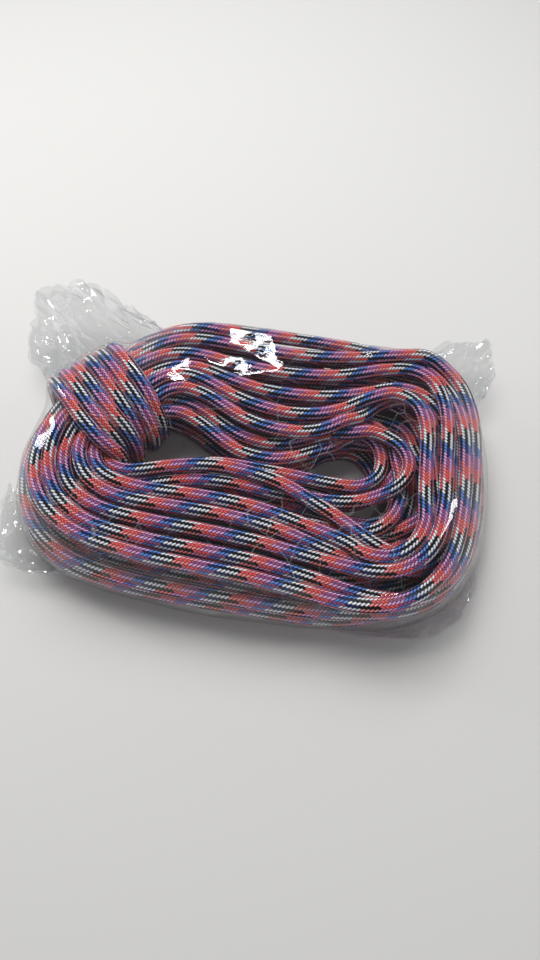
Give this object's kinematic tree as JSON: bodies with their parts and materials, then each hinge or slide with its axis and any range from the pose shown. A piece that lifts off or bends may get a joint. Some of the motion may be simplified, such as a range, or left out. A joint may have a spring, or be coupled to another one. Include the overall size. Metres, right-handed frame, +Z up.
{
  "type": "dynamic climbing rope",
  "caption": "Short kernmantle rope laid up in a flat oval hank, lashed at one corner with its own tail and closed in a clear film bag.",
  "frame": {"origin": "middle of the base, on the surface that the bag lies on", "axes": "+X along the hank's length towards its loose right end, +Y towards the rear where the lashing is, +Z up"},
  "size_m": [0.284, 0.194, 0.0593],
  "materials": {
    "sheath": "braided, coral, lilac, royal blue and near-black in repeating blocks",
    "core": "undyed twisted yarns",
    "end_seal": "melted yarn",
    "film": "clear, glossy, crumpled"
  },
  "bodies": {
    "root": {"hank_sheath": "sheath", "hank_core": "core", "hank_end_seal": "end_seal", "lashing_sheath": "sheath", "lashing_core": "core", "tail_end_seal": "end_seal", "film_lower_web": "film", "film_upper_web": "film"}
  },
  "joints": []
}
